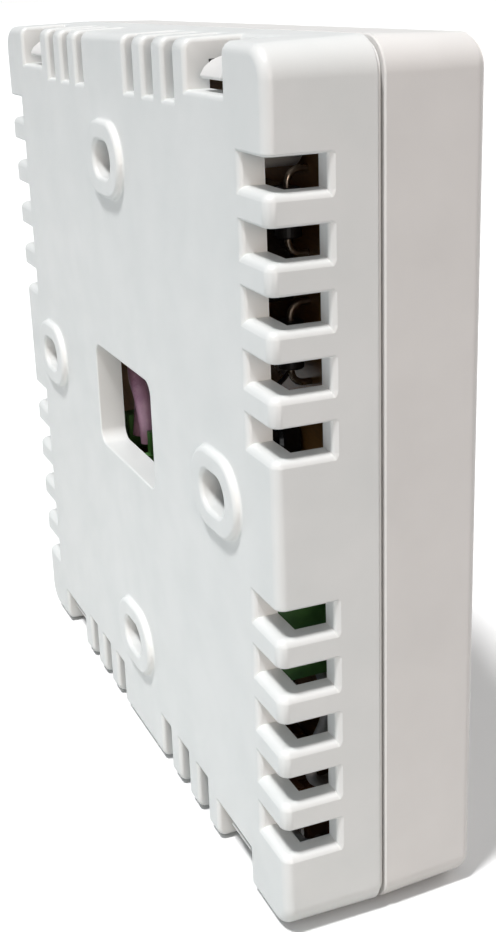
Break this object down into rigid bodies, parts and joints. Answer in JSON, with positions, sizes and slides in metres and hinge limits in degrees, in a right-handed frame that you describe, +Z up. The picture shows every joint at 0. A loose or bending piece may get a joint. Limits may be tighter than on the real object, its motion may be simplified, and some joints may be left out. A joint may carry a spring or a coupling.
{
  "type": "wall thermostat",
  "caption": "Square white room thermostat with a vented rear base, clip-on front cover, setting dial, rocker switch, and circuit board and terminals inside.",
  "frame": {"origin": "on the wall plane, where the faces of the rear bosses touch it, at the centre of the square base", "axes": "+Z up, +Y into the wall, so the housing stands off towards -Y and the dial faces -Y"},
  "size_m": [0.088, 0.0285, 0.088],
  "materials": {
    "rear_base": "satin white ABS",
    "main_board": "brown phenolic laminate",
    "terminal_strip": "green polyamide",
    "terminal_clamp_1": "plain brass",
    "terminal_clamp_2": "plain brass",
    "terminal_clamp_3": "plain brass",
    "terminal_clamp_4": "plain brass",
    "terminal_clamp_5": "plain brass",
    "terminal_screw_1": "zinc plated",
    "terminal_screw_2": "zinc plated",
    "terminal_screw_3": "zinc plated",
    "terminal_screw_4": "zinc plated",
    "terminal_screw_5": "zinc plated",
    "strip_screw_1": "zinc plated",
    "strip_screw_2": "zinc plated",
    "board_screw_1": "zinc plated",
    "board_screw_2": "zinc plated",
    "board_screw_3": "zinc plated",
    "board_screw_4": "zinc plated",
    "relay": "black glossy case",
    "electrolytic_capacitor": "black shrink sleeve",
    "filter_capacitor": "black shrink sleeve",
    "film_capacitor": "red-brown dipped epoxy",
    "varistor": "blue dipped epoxy",
    "controller_chip": "black moulded epoxy",
    "diode_1": "black moulded epoxy",
    "diode_2": "black moulded epoxy",
    "resistor_1": "beige coating",
    "resistor_2": "beige coating",
    "resistor_3": "beige coating",
    "temperature_sensor": "black epoxy bead",
    "lead_wire_1": "mauve insulation",
    "lead_wire_2": "mauve insulation",
    "link_wire": "light grey insulation",
    "potentiometer_body": "moulded case",
    "switch_body": "moulded black",
    "status_lamp": "tinted epoxy",
    "front_cover": "satin white ABS",
    "light_guide": "clear acrylic",
    "setting_dial": "satin white ABS",
    "dial_pointer": "grey insert",
    "dial_retainer": "spring steel",
    "potentiometer_rotor": "moulded white",
    "switch_rocker": "polished white",
    "minimum_limit_ring": "blue moulding",
    "maximum_limit_ring": "red moulding"
  },
  "bodies": {
    "base": {"rear_base": "rear_base", "main_board": "main_board", "terminal_strip": "terminal_strip", "terminal_clamp_1": "terminal_clamp_1", "terminal_clamp_2": "terminal_clamp_2", "terminal_clamp_3": "terminal_clamp_3", "terminal_clamp_4": "terminal_clamp_4", "terminal_clamp_5": "terminal_clamp_5", "terminal_screw_1": "terminal_screw_1", "terminal_screw_2": "terminal_screw_2", "terminal_screw_3": "terminal_screw_3", "terminal_screw_4": "terminal_screw_4", "terminal_screw_5": "terminal_screw_5", "strip_screw_1": "strip_screw_1", "strip_screw_2": "strip_screw_2", "board_screw_1": "board_screw_1", "board_screw_2": "board_screw_2", "board_screw_3": "board_screw_3", "board_screw_4": "board_screw_4", "relay": "relay", "electrolytic_capacitor": "electrolytic_capacitor", "filter_capacitor": "filter_capacitor", "film_capacitor": "film_capacitor", "varistor": "varistor", "controller_chip": "controller_chip", "diode_1": "diode_1", "diode_2": "diode_2", "resistor_1": "resistor_1", "resistor_2": "resistor_2", "resistor_3": "resistor_3", "temperature_sensor": "temperature_sensor", "lead_wire_1": "lead_wire_1", "lead_wire_2": "lead_wire_2", "link_wire": "link_wire", "potentiometer_body": "potentiometer_body", "switch_body": "switch_body", "status_lamp": "status_lamp"},
    "cover": {"front_cover": "front_cover", "light_guide": "light_guide"},
    "dial": {"setting_dial": "setting_dial", "dial_pointer": "dial_pointer", "dial_retainer": "dial_retainer"},
    "rotor": {"potentiometer_rotor": "potentiometer_rotor"},
    "rocker": {"switch_rocker": "switch_rocker"},
    "minimum_ring": {"minimum_limit_ring": "minimum_limit_ring"},
    "maximum_ring": {"maximum_limit_ring": "maximum_limit_ring"}
  },
  "joints": [
    {"name": "cover_pull_off", "type": "slide", "parent": "base", "child": "cover", "axis": [0, -1, 0], "range_m": [0, 0.03]},
    {"name": "dial_turn", "type": "hinge", "parent": "cover", "child": "dial", "pos_m": [0, -0.023, 0.015], "axis": [0, 1, 0], "range_deg": [-135, 135]},
    {"name": "rotor_turn", "type": "hinge", "parent": "base", "child": "rotor", "pos_m": [0, -0.016, 0.015], "axis": [0, 1, 0], "range_deg": [-135, 135]},
    {"name": "switch_rock", "type": "hinge", "parent": "base", "child": "rocker", "pos_m": [0.022, -0.0188, -0.03], "axis": [-1, 0, 0], "range_deg": [0, 10]},
    {"name": "minimum_limit_turn", "type": "hinge", "parent": "cover", "child": "minimum_ring", "pos_m": [0, -0.0229, 0.015], "axis": [0, 1, 0], "range_deg": [0, 130]},
    {"name": "maximum_limit_turn", "type": "hinge", "parent": "cover", "child": "maximum_ring", "pos_m": [0, -0.0229, 0.015], "axis": [0, 1, 0], "range_deg": [-130, 0]}
  ],
  "couplings": [
    {"joint": "rotor_turn", "follows": "dial_turn", "ratio": 1}
  ]
}
